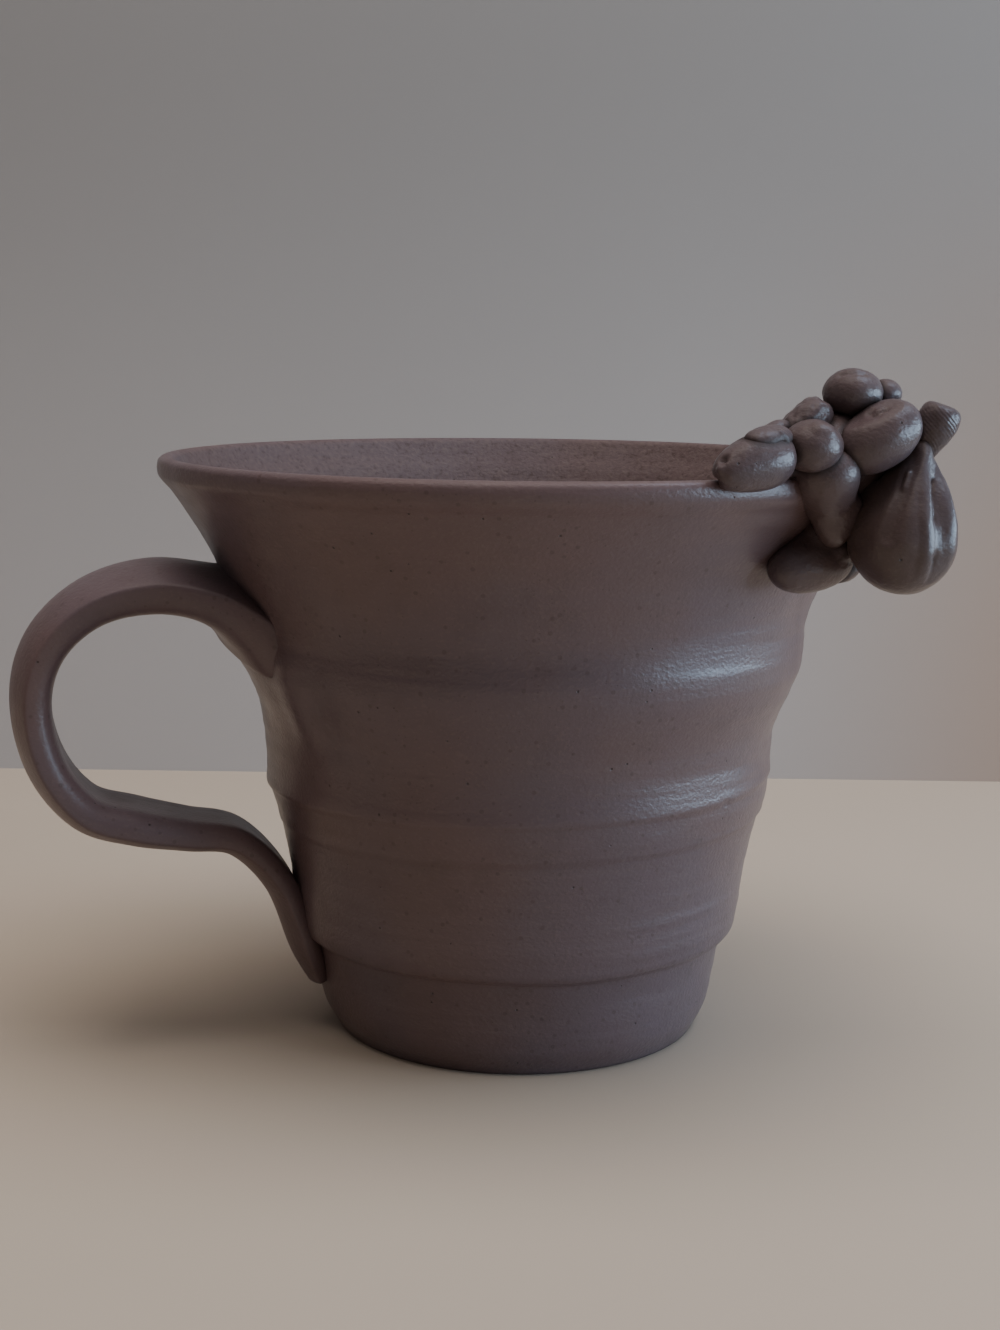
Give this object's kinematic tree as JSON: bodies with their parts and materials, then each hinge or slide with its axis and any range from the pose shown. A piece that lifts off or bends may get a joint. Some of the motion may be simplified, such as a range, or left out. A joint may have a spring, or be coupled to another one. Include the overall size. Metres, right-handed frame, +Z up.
{
  "type": "clay mug",
  "caption": "Hand-thrown stoneware mug with a flared rim, a pulled strap handle and a small modelled animal hanging over the lip, for hot drinks.",
  "frame": {"origin": "middle of the flat foot, where the mug's turning axis meets the table", "axes": "+Z up the turning axis, -X to the side of the handle, +X to the side of the animal, both turned a little towards -Y, the side that the picture shows"},
  "size_m": [0.1307, 0.108, 0.0999],
  "materials": {
    "body_clay": "unglazed, semi-matte, with fine pits and specks",
    "handle_clay": "unglazed, smoothed by a wet hand, semi-matte",
    "animal_clay": "unglazed, smoothed, with a soft sheen",
    "sack_clay": "unglazed, smoothed, with a soft sheen"
  },
  "bodies": {
    "root": {"cup_body": "body_clay", "handle": "handle_clay", "head": "animal_clay", "near_ear": "animal_clay", "far_ear": "animal_clay", "shoulder": "animal_clay", "neck": "animal_clay", "torso": "animal_clay", "arm": "animal_clay", "upper_bundle": "animal_clay", "small_bundle": "animal_clay", "leg": "animal_clay", "near_foot": "animal_clay", "far_foot": "animal_clay", "sack": "sack_clay", "sack_neck": "sack_clay"}
  },
  "joints": []
}
